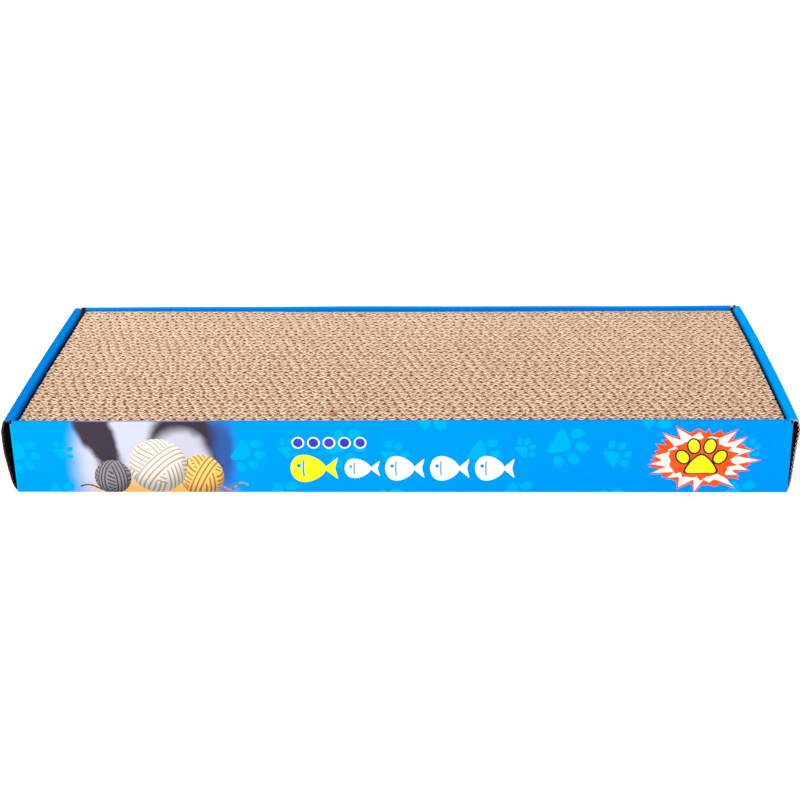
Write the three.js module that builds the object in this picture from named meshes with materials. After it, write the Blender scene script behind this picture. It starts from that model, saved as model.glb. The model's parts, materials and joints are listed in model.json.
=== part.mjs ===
import * as THREE from 'three';

// Cat scratcher: a carton tray with rolled walls that holds two corrugated pads, one on the other.
// Millimetres, +Z up. The front wall faces -Y and the origin is the middle of the underside.
// The tray is one folded sheet, and each panel between its creases is a piece of its own.

// Tray
const TRAY_LENGTH = 500; // between the two upright creases of the front wall
const TRAY_DEPTH = 220; // outside of the front wall to outside of the back wall
const TRAY_HEIGHT = 50;
const SHEET = 1.5; // thickness of the fine-fluted carton
const FOLD_AIR = 0.3; // left between the two layers of a tight fold
const FIT_GAP = 0.3; // between panels that slide past each other or are tucked together

// Hollow end walls
const END_LEAN = 6; // how far the shoulder stands out past the base crease
const SHOULDER_DROP = 7; // height of the rim above the shoulder
const SHOULDER_SETBACK = 1.5; // how far the rim's outer crease comes back in from the shoulder
const RIM_MITRE_LENGTH = 7; // cut off the rim's inner corner beside the back wall
const RIM_MITRE_WIDTH = 5.8;

// Lock tabs under the inner end panels, and their slots in the base
const TAB_WIDTH = 32;
const TAB_SPACING = 110; // between the middles of the two tabs
const TAB_LIFT = 0.3; // the tab's foot stays this far above the table

// Corner flaps tucked into the hollow ends
const FLAP_LENGTH = 56;
const FLAP_FOOT = 14; // height of the flap's lower edge, clear of the base crease
const FLAP_TAPER = 5; // how much each edge of the flap runs in towards its free end

// Pads
const PAD_COUNT = 2;
const PAD_RECESS = 3.5; // top face of the upper pad below the tray's rim
const PAD_END_GAP = 0.4; // from each pad end to the inner end panel
const PAD_SIDE_GAP = 0.3; // least clearance to the front and back inner walls
const BOARD_PITCH = 6.25; // one double-wall board with its line of glue
const GLUE_THICKNESS = 0.25;
const GLUE_INSET = 1; // the glue stops this far below the boards' cut edges
const MOST_STRIPS = 20; // boards are glued into at most this many strips to a pad

// Worked out from the sizes above
const halfLength = TRAY_LENGTH / 2;
const halfDepth = TRAY_DEPTH / 2;
const foldRadius = SHEET + FOLD_AIR / 2;
const foldHeight = TRAY_HEIGHT - foldRadius; // where a wall's straight layers end
const rimUnderside = TRAY_HEIGHT - SHEET;
const shoulderHeight = TRAY_HEIGHT - SHOULDER_DROP;
const innerWallFace = halfDepth - 2 * foldRadius; // inside face of the front and back walls
const innerPanelOuter = halfLength - SHEET - FIT_GAP; // the flap's thickness and a gap inside the crease
const innerPanelInner = innerPanelOuter - SHEET;
const endPanelHalfWidth = halfDepth - SHEET - FIT_GAP;
const innerPanelHalfWidth = innerWallFace - FIT_GAP;
const padHalfLength = innerPanelInner - PAD_END_GAP;
const padThickness = (TRAY_HEIGHT - PAD_RECESS - SHEET) / PAD_COUNT;
const boardCount = Math.floor((2 * innerWallFace - 2 * PAD_SIDE_GAP) / BOARD_PITCH);
const boardsPerStrip = Math.ceil(boardCount / MOST_STRIPS);
const padHalfDepth = (boardCount * BOARD_PITCH) / 2;

const printedOutside = new THREE.MeshStandardMaterial({ color: 0x00a3ff, roughness: 0.35, metalness: 0 });
const printedInside = new THREE.MeshStandardMaterial({ color: 0x0a7fe6, roughness: 0.4, metalness: 0 });
const bareKraft = new THREE.MeshStandardMaterial({ color: 0xb98a5c, roughness: 0.9, metalness: 0 });
const padBoard = new THREE.MeshStandardMaterial({ color: 0xdcb893, roughness: 0.95, metalness: 0 });

// An outline of [y, z] points, pushed along X from x = 0 to the given length.
function profileAlongX(points, length) {
  const outline = new THREE.Shape(points.map(([y, z]) => new THREE.Vector2(y, z)));
  const solid = new THREE.ExtrudeGeometry(outline, { depth: length, bevelEnabled: false });
  return solid.applyMatrix4(axes([0, 1, 0], [0, 0, 1], [1, 0, 0]));
}

// An outline of [x, z] points, pushed along Y equally to both sides of y = 0.
function profileAcrossY(points, halfWidth) {
  const outline = new THREE.Shape(points.map(([x, z]) => new THREE.Vector2(x, z)));
  const solid = new THREE.ExtrudeGeometry(outline, { depth: 2 * halfWidth, bevelEnabled: false });
  return solid.applyMatrix4(axes([1, 0, 0], [0, 0, 1], [0, -1, 0])).translate(0, halfWidth, 0);
}

// An outline of [x, y] points, pushed up from z = 0 to the given height.
function plateUpZ(points, height) {
  const outline = new THREE.Shape(points.map(([x, y]) => new THREE.Vector2(x, y)));
  return new THREE.ExtrudeGeometry(outline, { depth: height, bevelEnabled: false });
}

function axes(first, second, third) {
  const column = (values) => new THREE.Vector3(...values);
  return new THREE.Matrix4().makeBasis(column(first), column(second), column(third));
}

function addPiece(group, name, geometry, material, position = [0, 0, 0]) {
  const mesh = new THREE.Mesh(geometry, material);
  mesh.name = name;
  mesh.position.set(...position);
  group.add(mesh);
}

// Point where a sheet's inner face turns, for an outer face that turns at `corner`.
function insideCorner(before, corner, after, inward) {
  const offsetLine = (from, to) => {
    const along = new THREE.Vector2(to[0] - from[0], to[1] - from[1]).normalize();
    const shift = new THREE.Vector2(-along.y, along.x).multiplyScalar(SHEET * inward);
    return { start: new THREE.Vector2(from[0] + shift.x, from[1] + shift.y), along };
  };
  const lower = offsetLine(before, corner);
  const upper = offsetLine(corner, after);
  const between = upper.start.clone().sub(lower.start);
  const reach = between.cross(upper.along) / lower.along.cross(upper.along);
  return lower.start.clone().addScaledVector(lower.along, reach).toArray();
}

// Where the line through two [x, z] points passes a given height.
function atHeight([x0, z0], [x1, z1], height) {
  return [x0 + ((x1 - x0) * (height - z0)) / (z1 - z0), height];
}

// Base panel, with a slot at each lock tab that opens into the crease of the end wall.
function basePanel() {
  const endFace = innerPanelOuter;
  const slotFace = innerPanelInner - FIT_GAP;
  const sideFace = halfDepth - SHEET;
  const slotHalfWidth = TAB_WIDTH / 2 + FIT_GAP;
  const slotEdges = [-1, 1].flatMap((side) => {
    const middle = (side * TAB_SPACING) / 2;
    return [
      [endFace, middle - slotHalfWidth],
      [slotFace, middle - slotHalfWidth],
      [slotFace, middle + slotHalfWidth],
      [endFace, middle + slotHalfWidth],
    ];
  });
  const rightEdge = [[endFace, -sideFace], ...slotEdges, [endFace, sideFace]];
  const leftEdge = rightEdge.map(([x, y]) => [-x, -y]);
  return plateUpZ([...rightEdge, ...leftEdge], SHEET);
}

// Half ring over the two layers of a long wall, with its feet at z = 0.
function topFold() {
  const outline = new THREE.Shape();
  outline.absarc(0, 0, foldRadius, 0, Math.PI, false);
  outline.absarc(0, 0, FOLD_AIR / 2, Math.PI, 0, true);
  const solid = new THREE.ExtrudeGeometry(outline, {
    depth: TRAY_LENGTH,
    bevelEnabled: false,
    curveSegments: 10,
  });
  return solid.applyMatrix4(axes([0, 1, 0], [0, 0, 1], [1, 0, 0]));
}

// Front or back wall: outer layer, rounded fold along the top, and the layer that comes down inside.
function addLongWall(group, name, side) {
  const outerY = side * (halfDepth - SHEET / 2);
  const innerY = side * (innerWallFace + SHEET / 2);
  const foldY = side * (halfDepth - foldRadius);
  const innerHeight = foldHeight - SHEET;
  const outerLayer = new THREE.BoxGeometry(TRAY_LENGTH, SHEET, foldHeight);
  const innerLayer = new THREE.BoxGeometry(2 * innerPanelOuter, SHEET, innerHeight);
  addPiece(group, `${name}_outer_wall`, outerLayer, printedOutside, [0, outerY, foldHeight / 2]);
  addPiece(group, `${name}_top_fold`, topFold(), printedInside, [-halfLength, foldY, foldHeight]);
  addPiece(group, `${name}_inner_wall`, innerLayer, printedInside, [0, innerY, SHEET + innerHeight / 2]);
}

// Outer end panel: it leans out to the shoulder and bends back in under the rim.
function outerEndPanel(side) {
  const foot = [side * halfLength, 0];
  const shoulder = [side * (halfLength + END_LEAN), shoulderHeight];
  const crest = [side * (halfLength + END_LEAN - SHOULDER_SETBACK), TRAY_HEIGHT];
  const turn = insideCorner(foot, shoulder, crest, side);
  const lean = [shoulder[0] - foot[0], shoulder[1] - foot[1]];
  const setback = [crest[0] - shoulder[0], crest[1] - shoulder[1]];
  const outline = [
    foot,
    shoulder,
    atHeight(shoulder, crest, rimUnderside),
    atHeight(turn, [turn[0] + setback[0], turn[1] + setback[1]], rimUnderside),
    turn,
    atHeight(turn, [turn[0] + lean[0], turn[1] + lean[1]], 0),
  ];
  return profileAcrossY(outline, endPanelHalfWidth);
}

// Rim over the hollow end, narrowed beside the long walls and mitred at the back.
function endRim(side) {
  const outer = halfLength + END_LEAN - SHOULDER_SETBACK;
  const notch = halfLength + FIT_GAP;
  const outline = [
    [outer, -endPanelHalfWidth],
    [outer, endPanelHalfWidth],
    [innerPanelInner + RIM_MITRE_WIDTH, endPanelHalfWidth],
    [innerPanelInner, endPanelHalfWidth - RIM_MITRE_LENGTH],
    [innerPanelInner, -innerPanelHalfWidth],
    [notch, -innerPanelHalfWidth],
    [notch, -endPanelHalfWidth],
  ];
  return plateUpZ(outline.map(([x, y]) => [side * x, y]), SHEET);
}

// Inner end panel, in its own y and z, with two tabs that drop into the base slots.
function innerEndPanel() {
  const tabFoot = TAB_LIFT - SHEET;
  const tabEdges = [-1, 1].flatMap((side) => {
    const middle = (side * TAB_SPACING) / 2;
    return [
      [middle - TAB_WIDTH / 2, 0],
      [middle - TAB_WIDTH / 2, tabFoot],
      [middle + TAB_WIDTH / 2, tabFoot],
      [middle + TAB_WIDTH / 2, 0],
    ];
  });
  const height = rimUnderside - SHEET;
  const outline = [
    [-innerPanelHalfWidth, 0],
    ...tabEdges,
    [innerPanelHalfWidth, 0],
    [innerPanelHalfWidth, height],
    [-innerPanelHalfWidth, height],
  ];
  return profileAlongX(outline, SHEET);
}

function addHollowEnd(group, name, side) {
  const innerX = side > 0 ? innerPanelInner : -innerPanelOuter;
  addPiece(group, `${name}_end_outer_panel`, outerEndPanel(side), printedOutside);
  addPiece(group, `${name}_end_rim`, endRim(side), printedInside, [0, 0, rimUnderside]);
  addPiece(group, `${name}_end_inner_panel`, innerEndPanel(), printedInside, [innerX, 0, SHEET]);
}

// Flap that runs on from a long wall past its upright crease and is tucked into the hollow end.
function addCornerFlap(group, name, sideX, sideY) {
  const top = rimUnderside - FIT_GAP;
  const outline = [
    [0, FLAP_FOOT],
    [FLAP_LENGTH, FLAP_FOOT + FLAP_TAPER],
    [FLAP_LENGTH, top - FLAP_TAPER],
    [0, top],
  ];
  const geometry = profileAlongX(outline.map(([y, z]) => [-sideY * y, z]), SHEET);
  const x = sideX > 0 ? halfLength - SHEET : -halfLength;
  addPiece(group, name, geometry, bareKraft, [x, sideY * (halfDepth - SHEET), 0]);
}

// Strip of boards that stand on edge, face to face, with lines of glue that stop short of the cut edges.
// The last strip of a pad ends with a bare board.
function boardStrip(boards, isLast) {
  const board = BOARD_PITCH - GLUE_THICKNESS;
  const top = padThickness;
  const starts = Array.from({ length: boards }, (_, index) => index * BOARD_PITCH);
  const glued = (index) => index < boards - 1 || !isLast;
  const under = starts.flatMap((start, index) => {
    const edge = [[start, 0], [start + board, 0]];
    const glue = [[start + board, GLUE_INSET], [start + BOARD_PITCH, GLUE_INSET]];
    return glued(index) ? [...edge, ...glue] : edge;
  });
  const over = under.map(([y, z]) => [y, top - z]).reverse();
  return profileAlongX([...under, ...over], 2 * padHalfLength);
}

function makePad(name, floor) {
  const pad = new THREE.Group();
  pad.position.set(-padHalfLength, -padHalfDepth, floor);
  const stripCount = Math.ceil(boardCount / boardsPerStrip);
  for (let index = 0; index < stripCount; index += 1) {
    const first = index * boardsPerStrip;
    const boards = Math.min(boardsPerStrip, boardCount - first);
    const isLast = index === stripCount - 1;
    const label = String(index + 1).padStart(2, '0');
    addPiece(pad, `${name}_strip_${label}`, boardStrip(boards, isLast), padBoard, [0, first * BOARD_PITCH, 0]);
  }
  return pad;
}

function makeTray() {
  const tray = new THREE.Group();
  addPiece(tray, 'base_panel', basePanel(), bareKraft);
  addLongWall(tray, 'front', -1);
  addLongWall(tray, 'back', 1);
  addHollowEnd(tray, 'left', -1);
  addHollowEnd(tray, 'right', 1);
  addCornerFlap(tray, 'front_left_corner_flap', -1, -1);
  addCornerFlap(tray, 'front_right_corner_flap', 1, -1);
  addCornerFlap(tray, 'back_left_corner_flap', -1, 1);
  addCornerFlap(tray, 'back_right_corner_flap', 1, 1);
  return tray;
}

const scratcher = new THREE.Group();
scratcher.add(makeTray());
scratcher.add(makePad('lower_pad', SHEET));
scratcher.add(makePad('upper_pad', SHEET + padThickness));

export default scratcher;
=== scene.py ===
"""Finished look of a cat scratcher: a printed carton tray with rolled walls, and two corrugated pads."""

import json
import math
import random
from collections import namedtuple

import bmesh
import bpy
from bpy.props import FloatProperty, FloatVectorProperty, IntProperty, PointerProperty
from bpy.types import Operator, Panel, PropertyGroup
from mathutils import Matrix, Vector
from mathutils.geometry import delaunay_2d_cdt
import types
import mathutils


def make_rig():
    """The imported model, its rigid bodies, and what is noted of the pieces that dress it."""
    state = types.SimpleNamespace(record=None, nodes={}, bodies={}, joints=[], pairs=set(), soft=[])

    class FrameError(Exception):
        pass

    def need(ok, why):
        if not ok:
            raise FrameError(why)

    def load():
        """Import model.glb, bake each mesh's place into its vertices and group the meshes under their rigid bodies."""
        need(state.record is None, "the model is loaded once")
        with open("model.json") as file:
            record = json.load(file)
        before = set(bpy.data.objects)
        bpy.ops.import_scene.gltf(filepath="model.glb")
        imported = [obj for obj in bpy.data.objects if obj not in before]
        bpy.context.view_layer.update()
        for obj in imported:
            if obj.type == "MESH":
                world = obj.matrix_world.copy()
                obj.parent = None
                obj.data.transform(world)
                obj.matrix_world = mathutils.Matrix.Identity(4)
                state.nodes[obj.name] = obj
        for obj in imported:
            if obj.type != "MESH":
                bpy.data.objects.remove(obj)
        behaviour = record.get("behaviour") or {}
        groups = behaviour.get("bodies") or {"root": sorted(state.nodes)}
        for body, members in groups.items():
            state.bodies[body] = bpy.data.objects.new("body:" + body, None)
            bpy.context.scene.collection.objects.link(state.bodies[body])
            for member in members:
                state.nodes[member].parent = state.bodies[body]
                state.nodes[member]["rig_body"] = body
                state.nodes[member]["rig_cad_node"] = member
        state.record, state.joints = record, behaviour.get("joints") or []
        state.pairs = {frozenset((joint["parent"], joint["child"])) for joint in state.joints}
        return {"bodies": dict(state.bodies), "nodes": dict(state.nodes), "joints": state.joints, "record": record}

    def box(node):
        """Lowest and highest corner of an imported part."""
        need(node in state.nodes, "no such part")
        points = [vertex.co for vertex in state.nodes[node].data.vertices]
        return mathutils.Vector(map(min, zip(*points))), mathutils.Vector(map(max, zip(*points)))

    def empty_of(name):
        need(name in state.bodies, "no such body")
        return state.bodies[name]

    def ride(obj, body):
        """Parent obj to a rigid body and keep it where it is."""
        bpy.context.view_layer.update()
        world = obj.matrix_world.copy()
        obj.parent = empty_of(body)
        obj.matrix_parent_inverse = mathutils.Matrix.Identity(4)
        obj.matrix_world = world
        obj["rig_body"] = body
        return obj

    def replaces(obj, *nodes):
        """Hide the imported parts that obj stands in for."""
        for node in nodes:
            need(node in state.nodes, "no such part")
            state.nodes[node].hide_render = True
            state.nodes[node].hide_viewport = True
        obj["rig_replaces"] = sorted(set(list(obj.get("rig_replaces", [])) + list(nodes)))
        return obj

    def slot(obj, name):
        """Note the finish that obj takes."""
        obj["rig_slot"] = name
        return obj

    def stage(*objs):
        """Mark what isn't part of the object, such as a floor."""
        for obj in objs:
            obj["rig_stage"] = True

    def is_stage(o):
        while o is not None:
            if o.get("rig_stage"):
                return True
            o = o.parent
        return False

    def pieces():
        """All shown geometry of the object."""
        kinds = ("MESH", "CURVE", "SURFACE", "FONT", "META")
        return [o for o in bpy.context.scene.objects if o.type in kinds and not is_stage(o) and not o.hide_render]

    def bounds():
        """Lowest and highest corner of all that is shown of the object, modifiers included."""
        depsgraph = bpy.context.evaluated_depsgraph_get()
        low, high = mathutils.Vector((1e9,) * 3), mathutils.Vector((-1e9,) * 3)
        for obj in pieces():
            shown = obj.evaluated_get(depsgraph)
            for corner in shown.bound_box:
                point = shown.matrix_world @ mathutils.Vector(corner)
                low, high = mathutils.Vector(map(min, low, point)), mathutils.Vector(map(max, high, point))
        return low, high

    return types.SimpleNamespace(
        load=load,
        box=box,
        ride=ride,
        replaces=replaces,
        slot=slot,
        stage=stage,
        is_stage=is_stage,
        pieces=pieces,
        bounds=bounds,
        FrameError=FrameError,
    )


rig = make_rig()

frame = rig.load()

bl_info = {
    "name": "Cat Scratcher",
    "version": (1, 0, 0),
    "blender": (4, 5, 0),
    "location": "View3D > Sidebar > Scratcher",
    "description": "Builds a printed carton tray and the two corrugated pads that lie in it",
    "category": "Add Mesh",
}

MM = 0.001
CAD_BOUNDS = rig.bounds()
SIZE_FILE = "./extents.json"

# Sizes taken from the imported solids
FRONT_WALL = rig.box("front_outer_wall")
FRONT_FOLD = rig.box("front_top_fold")
FRONT_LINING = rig.box("front_inner_wall")
RIGHT_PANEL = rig.box("right_end_outer_panel")
RIGHT_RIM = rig.box("right_end_rim")
RIGHT_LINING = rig.box("right_end_inner_panel")
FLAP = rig.box("front_right_corner_flap")
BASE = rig.box("base_panel")
SHEET = FRONT_WALL[1].y - FRONT_WALL[0].y
HALF_LENGTH = FRONT_WALL[1].x
HALF_DEPTH = -FRONT_WALL[0].y
TRAY_HEIGHT = FRONT_FOLD[1].z
FOLD_RADIUS = (FRONT_FOLD[1].y - FRONT_FOLD[0].y) / 2
STRIPS = 17


def metres(name, description, default, **limits):
    """Property for a length."""
    return FloatProperty(
        name=name, description=description, default=default, unit="LENGTH", precision=5, **limits,
    )


def paint(name, description, default):
    """Property for a colour, as linear red, green and blue."""
    return FloatVectorProperty(
        name=name, description=description, default=default, subtype="COLOR", min=0, max=1,
    )


def rotation(name, description, degrees):
    """Property for an angle."""
    return FloatProperty(
        name=name, description=description, default=math.radians(degrees), subtype="ANGLE", precision=4,
    )


class CartonSettings(PropertyGroup):
    """Sizes and colours of the folded carton tray."""

    liner: metres("Liner", "Thickness of the carton's paper liners", 0.24 * MM, min=0.05 * MM)
    flute_pitch: metres("Flute pitch", "Length of one wave of the carton's fluted layer", 3.3 * MM, min=MM)
    shoulder_drop: metres("Shoulder drop", "Height of the rim above the shoulder of an end wall", 7 * MM)
    shoulder_radius: metres("Shoulder radius", "How softly an end wall bends at its shoulder", 12 * MM)
    rim_radius: metres("Rim radius", "Outer radius of the crease along the outside of a rim", 1.7 * MM)
    rim_inner_radius: metres(
        "Rim inner radius", "Outer radius of the softer crease along the inside of a rim", 3.4 * MM,
    )
    mitre_length: metres("Mitre length", "Length cut off the rim's inner corner beside the back wall", 7 * MM)
    mitre_width: metres("Mitre width", "Width cut off the rim's inner corner beside the back wall", 2.5 * MM)
    # Print blue of the long walls; that it is brighter at the left end than at the right is painted light, as if lit
    # from the left
    blue_left: paint("Blue, left", "Printed ground at the left end of the tray", (0.0, 0.193, 0.58))
    blue_right: paint("Blue, right", "Printed ground at the right end of the tray", (0.0, 0.158, 0.58))
    paw_blue: paint("Paw blue", "Paler blue of the paw prints", (0.0, 0.26, 0.62))
    # Print blue of the end walls, painted darker than the long walls' blue as painted shade on their tops, and lighter
    # at the right end than at the left as painted light
    rim_left: paint("Left rim blue", "Printed ground of the left end wall", (0.0, 0.145, 0.47))
    rim_right: paint("Right rim blue", "Printed ground of the right end wall", (0.0, 0.21, 0.55))
    # Painted shade: the dark blue that the print turns to in the gaps beside the pads
    shade_paint_blue: paint("Deep blue", "Print in the shade of the gaps beside the pads", (0.0, 0.004, 0.05))
    kraft: paint("Kraft", "Unprinted inner side of the carton", (0.3, 0.16, 0.08))
    cut: paint("Cut edge", "Raw cut edges of the carton", (0.5, 0.4, 0.33))
    # Painted shade: the dark brown that unprinted carton turns to inside the hollow ends
    shade_paint_kraft: paint("Deep kraft", "Unprinted carton in the shade of the hollow ends", (0.014, 0.004, 0.005))


class PadSettings(PropertyGroup):
    """Sizes and colours of the corrugated pads."""

    boards: IntProperty(name="Boards", description="Boards glued side by side in one pad", default=34, min=1)
    coarse_pitch: metres("Coarse pitch", "Length of one wave of the coarse fluted layer", 7.17 * MM, min=MM)
    fine_pitch: metres("Fine pitch", "Length of one wave of the fine fluted layer", 6.17 * MM, min=MM)
    coarse_height: metres("Coarse height", "Room between the coarse layer's liners", 3.25 * MM, min=0.5 * MM)
    fine_height: metres("Fine height", "Room between the fine layer's liners", 1.95 * MM, min=0.5 * MM)
    liner: metres("Liner", "Thickness of a flat paper, with its frayed cut edge", 0.26 * MM, min=0.05 * MM)
    medium: metres("Medium", "Thickness of a fluted paper, with its frayed cut edge", 0.6 * MM, min=0.05 * MM)
    unevenness: metres("Unevenness", "How much the sawn paper edges rise and fall", 0.5 * MM, min=0)
    bow: metres("Bow", "How far the boards bend backwards in the middle of their length", 0.3 * MM, min=0)
    middle_reach: metres(
        "Middle reach", "How much further the upper pad's middle boards reach at both ends", 1.0 * MM,
    )
    stretch: metres("Stretch", "How much further the upper pad reaches at its back left corner", 1.6 * MM)
    corner_rise: metres(
        "Corner rise", "How much higher the upper pad stands in its back left corner", 1.3 * MM, min=0,
    )
    paper: paint("Paper", "Sides of the paper layers", (0.35, 0.2, 0.11))
    # Painted shade, not dust: the dark paper that the flutes' sides turn to with depth
    flute_shade: paint("Flute shade", "Dusty, dark paper deep inside the flutes", (0.11, 0.042, 0.009))
    # Painted shade: the brown that the fluted paper's cut edge turns to where its wave opens widest
    gap_edge_shade: paint(
        "Gap edge", "Cut edges of the fluted paper where its wave opens widest", (0.22, 0.09, 0.024),
    )
    cut_edge: paint("Cut edge", "Sawn edges of the paper layers", (0.92, 0.72, 0.565))
    cut_shade: paint("Cut shade", "Frayed hollows along the sawn edges", (0.36, 0.215, 0.125))
    stain: paint("Stain", "The two small marks on top of the upper pad", (0.33, 0.09, 0.04))


class PrintSettings(PropertyGroup):
    """Colours of the pictures printed on the front wall."""

    yellow: paint("Yellow", "Yellow fish and paw", (0.55, 0.45, 0.0))
    white: paint("White", "White fish and burst", (0.52, 0.51, 0.53))
    orange: paint("Orange", "Orange of the burst", (0.54, 0.045, 0.0))
    ink: paint("Black", "Outlines", (0.01, 0.008, 0.006))
    royal: paint("Royal blue", "Dots", (0.012, 0.02, 0.3))


class StageSettings(PropertyGroup):
    """Floor, lights and camera."""

    camera_place: FloatVectorProperty(
        name="Camera place", description="Where the camera stands", subtype="TRANSLATION", unit="LENGTH",
        default=(0.0358, -1.007, 0.4452), precision=4,
    )
    camera_pitch: rotation("Camera pitch", "How far the camera looks down", 22.959)
    camera_yaw: rotation("Camera yaw", "How far the camera is turned to its left", 2.186)
    camera_roll: rotation("Camera roll", "How far the camera is tilted about its line of sight", -0.945)
    lens: FloatProperty(name="Lens", description="Focal length", default=69.33, min=1, unit="CAMERA")
    sky: FloatProperty(
        name="Sky", description="Strength of the even light from all round", default=1.3, min=0,
    )
    key: FloatProperty(
        name="Key", description="Power of the large light before the tray, to its left", default=150, min=0,
        unit="POWER",
    )
    floor: paint("Floor", "Colour of the floor", (0.9, 0.9, 0.9))


class Wire:
    """One output of a node. Arithmetic on it adds Math nodes to the same tree."""

    def __init__(self, tree, socket):
        self.tree = tree
        self.socket = socket

    def math(self, operation, *values):
        node = self.tree.nodes.new("ShaderNodeMath")
        node.operation = operation
        for value, socket in zip(values, node.inputs):
            plug(self.tree, value, socket)
        return Wire(self.tree, node.outputs[0])

    def __add__(self, other):
        return self.math("ADD", self, other)

    def __sub__(self, other):
        return self.math("SUBTRACT", self, other)

    def __rsub__(self, other):
        return self.math("SUBTRACT", other, self)

    def __mul__(self, other):
        return self.math("MULTIPLY", self, other)

    def __truediv__(self, other):
        return self.math("DIVIDE", self, other)

    def __lt__(self, other):
        return self.math("LESS_THAN", self, other)

    def __gt__(self, other):
        return self.math("GREATER_THAN", self, other)

    __radd__ = __add__
    __rmul__ = __mul__

    def __abs__(self):
        return self.math("ABSOLUTE", self)

    def __round__(self):
        return self.math("ROUND", self)

    def sin(self):
        return self.math("SINE", self)

    def root(self):
        return self.math("SQRT", self)

    def at_most(self, other):
        return self.math("MINIMUM", self, other)

    def at_least(self, other):
        return self.math("MAXIMUM", self, other)


def plug(tree, value, socket):
    """Links a wire to a socket, or sets a plain value on it."""
    if isinstance(value, Wire):
        tree.links.new(value.socket, socket)
    else:
        socket.default_value = value


class Nodes:
    """Adds nodes to one tree and hands back their outputs as wires."""

    def __init__(self, tree):
        self.tree = tree

    def add(self, kind, settings=None, sockets=None, output=0):
        """Output of a new node, which gets its settings first and then the values or links of its sockets."""
        node = self.tree.nodes.new(kind)
        for name, value in (settings or {}).items():
            setattr(node, name, value)
        for key, value in (sockets or {}).items():
            plug(self.tree, value, node.inputs[key])
        return Wire(self.tree, node.outputs[output])

    def split(self, vector):
        """X, Y and Z of a vector as three wires."""
        first = self.add("ShaderNodeSeparateXYZ", sockets={0: vector})
        return [Wire(self.tree, output) for output in first.socket.node.outputs]

    def join_xyz(self, x, y, z):
        return self.add("ShaderNodeCombineXYZ", sockets={0: x, 1: y, 2: z})

    def step(self, value, low, high, to_low=0.0, to_high=1.0):
        """Smooth change from one value to another between two limits."""
        settings = {"interpolation_type": "SMOOTHSTEP"}
        sockets = {"Value": value, "From Min": low, "From Max": high, "To Min": to_low, "To Max": to_high}
        return self.add("ShaderNodeMapRange", settings, sockets)

    def noise(self, place, scale, detail=2.0, roughness=0.5):
        settings = {"noise_dimensions": "3D"}
        sockets = {"Vector": place, "Scale": scale, "Detail": detail, "Roughness": roughness}
        return self.add("ShaderNodeTexNoise", settings, sockets)


class Finish(Nodes):
    """A material built round one Principled shader."""

    def __init__(self, name, specular, roughness=0.5):
        self.material = bpy.data.materials.new(name)
        self.material.use_nodes = True
        super().__init__(self.material.node_tree)
        self.shader = self.tree.nodes["Principled BSDF"]
        self.shader.inputs["Roughness"].default_value = roughness
        self.shader.inputs["Specular IOR Level"].default_value = specular
        self.place = self.add("ShaderNodeTexCoord", output=3)

    def attribute(self, name):
        """A number that the mesh carries at each of its points."""
        return self.add("ShaderNodeAttribute", {"attribute_name": name}, output=2)

    def speckle(self, scale, detail=2.0, roughness=0.5):
        """Noise over the piece, with a scale in waves per metre."""
        return self.noise(self.place, scale, detail, roughness)

    def mix(self, factor, first, second):
        """Colour between two colours, each a wire or three numbers."""
        first = first if isinstance(first, Wire) else (*first, 1)
        second = second if isinstance(second, Wire) else (*second, 1)
        settings = {"data_type": "RGBA", "clamp_factor": True}
        return self.add("ShaderNodeMix", settings, {0: factor, 6: first, 7: second}, output=2)

    def shade(self, colour, factor):
        """A colour, a wire or three numbers, made darker or lighter by a factor."""
        colour = colour if isinstance(colour, Wire) else tuple(colour)
        sockets = {0: colour, 1: self.join_xyz(factor, factor, factor)}
        return self.add("ShaderNodeVectorMath", {"operation": "MULTIPLY"}, sockets)

    def base(self, colour):
        plug(self.tree, colour, self.shader.inputs["Base Color"])

    def roughness(self, value):
        plug(self.tree, value, self.shader.inputs["Roughness"])

    def bump(self, height, distance, strength):
        sockets = {"Height": height, "Distance": distance, "Strength": strength}
        plug(self.tree, self.add("ShaderNodeBump", sockets=sockets), self.shader.inputs["Normal"])


# Finishes of the printed carton


def printed_ground(finish, carton, blues):
    """Blue with painted light that turns it from one end of the tray to the other, finely mottled, and painted shade
    that darkens it down into gaps.
    """
    x, _, _ = finish.split(finish.place)
    # Painted light: the blue is brighter at one end than at the other
    blue = finish.mix(finish.step(x, -HALF_LENGTH, HALF_LENGTH), *blues)
    mottle = finish.speckle(90, 3)
    # Painted shade: the print turns to a dark blue as far as the mesh's painted shade attribute says
    return finish.mix(finish.attribute("deep"), finish.shade(blue, 0.97 + mottle * 0.06), carton.shade_paint_blue)


def on_carton(finish, carton, colour):
    """Material of a colour printed on carton: a soft gloss, with the flutes just showing through."""
    finish.base(colour)
    x, _, _ = finish.split(finish.place)
    washboard = (x * (math.tau / carton.flute_pitch)).sin()
    fibre = finish.speckle(900)
    finish.bump(washboard * 0.35 + fibre, 0.04 * MM, 0.5)
    scuff = finish.speckle(35, 4, 0.6)
    finish.roughness(finish.step(scuff, 0.35, 0.75, 0.36, 0.5))
    return finish.material


def ground_finish(name, carton, blues):
    """Plain printed ground, with its painted light across the tray and painted shade in gaps."""
    finish = Finish(name, specular=0.0)
    return on_carton(finish, carton, printed_ground(finish, carton, blues))


def paw_finish(name, carton, blues, cover=0.72):
    """Paw prints: a paler blue that covers a share of the ground's."""
    finish = Finish(name, specular=0.0)
    ground = printed_ground(finish, carton, blues)
    return on_carton(finish, carton, finish.mix(cover, ground, carton.paw_blue))


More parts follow.
